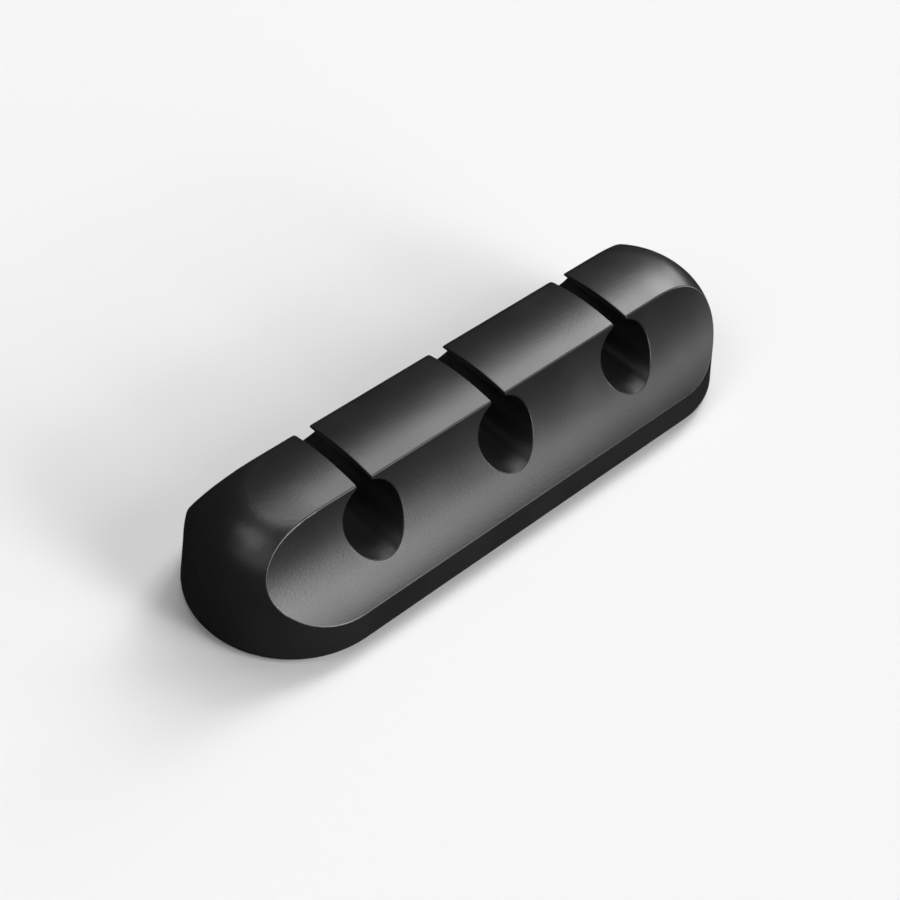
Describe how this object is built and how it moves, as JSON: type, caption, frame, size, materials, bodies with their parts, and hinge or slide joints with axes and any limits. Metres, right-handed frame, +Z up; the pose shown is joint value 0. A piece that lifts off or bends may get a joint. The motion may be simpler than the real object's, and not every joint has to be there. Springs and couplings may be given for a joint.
{
  "type": "adhesive cable clip",
  "caption": "Long soft loaf-shaped clip with a hollow front flank, a nearly flat back and round slotted channels for cables, held by a foam adhesive pad on its flat underside.",
  "frame": {"origin": "under the middle of the clip, on the underside of the release liner, which is the plane that the clip rests on", "axes": "+X along the clip's length, +Y along the cable channels, +Z up, away from the surface that the clip sticks to"},
  "size_m": [0.0634, 0.0204, 0.0128],
  "materials": {
    "body_rubber": "smooth satin moulding in near-black soft rubber",
    "foam_tape": "matt closed-cell foam, off-white",
    "liner_paper": "smooth coated paper, off-white"
  },
  "bodies": {
    "root": {"clip_body": "body_rubber", "adhesive_pad": "foam_tape", "release_liner": "liner_paper"}
  },
  "joints": []
}
